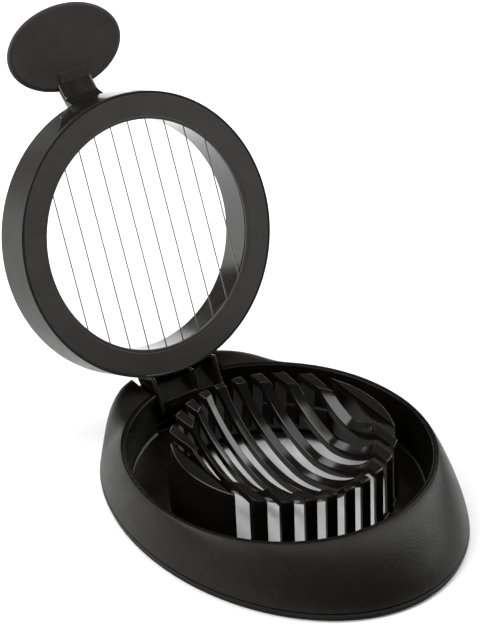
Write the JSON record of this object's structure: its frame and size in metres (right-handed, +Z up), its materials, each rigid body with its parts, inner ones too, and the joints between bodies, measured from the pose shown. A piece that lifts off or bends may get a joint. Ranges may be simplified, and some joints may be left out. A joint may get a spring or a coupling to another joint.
{
  "type": "egg slicer",
  "caption": "Round egg slicer: a slotted egg cradle in an oval tray, with a hinged ring lid strung with cutting wires and an oval thumb pad.",
  "frame": {"origin": "centre of the bounding box's base, with the lid open: on the surface it stands on, under the gap between cradle and lid", "axes": "+X across the slicer, +Y from the cradle towards the hinge and the open lid, +Z up"},
  "size_m": [0.0968, 0.1816, 0.1128],
  "materials": {
    "skirt_soft_touch": "fine-grained soft-touch black",
    "tray_satin": "smooth satin black",
    "foot_rubber": "matte black",
    "cradle_gloss": "polished black",
    "pin_steel": "drawn steel",
    "frame_gloss": "polished black",
    "band_satin": "satin black",
    "retainer_satin": "satin grey-black",
    "pad_soft_touch": "matte soft-touch black",
    "wire_steel": "drawn stainless wire"
  },
  "bodies": {
    "base": {"base_skirt": "skirt_soft_touch", "base_tray": "tray_satin", "foot_ring": "foot_rubber", "egg_cradle": "cradle_gloss", "hinge_pin": "pin_steel"},
    "lid": {"lid_frame": "frame_gloss", "lid_band": "band_satin", "wire_retainer": "retainer_satin", "thumb_pad": "pad_soft_touch", "wire_01": "wire_steel", "wire_02": "wire_steel", "wire_03": "wire_steel", "wire_04": "wire_steel", "wire_05": "wire_steel", "wire_06": "wire_steel", "wire_07": "wire_steel", "wire_08": "wire_steel", "wire_09": "wire_steel", "wire_10": "wire_steel"}
  },
  "joints": [
    {"name": "lid_hinge", "type": "hinge", "parent": "base", "child": "lid", "pos_m": [0, 0.02357, 0.00885], "axis": [1, 0, 0], "range_deg": [0, 113.9]}
  ]
}
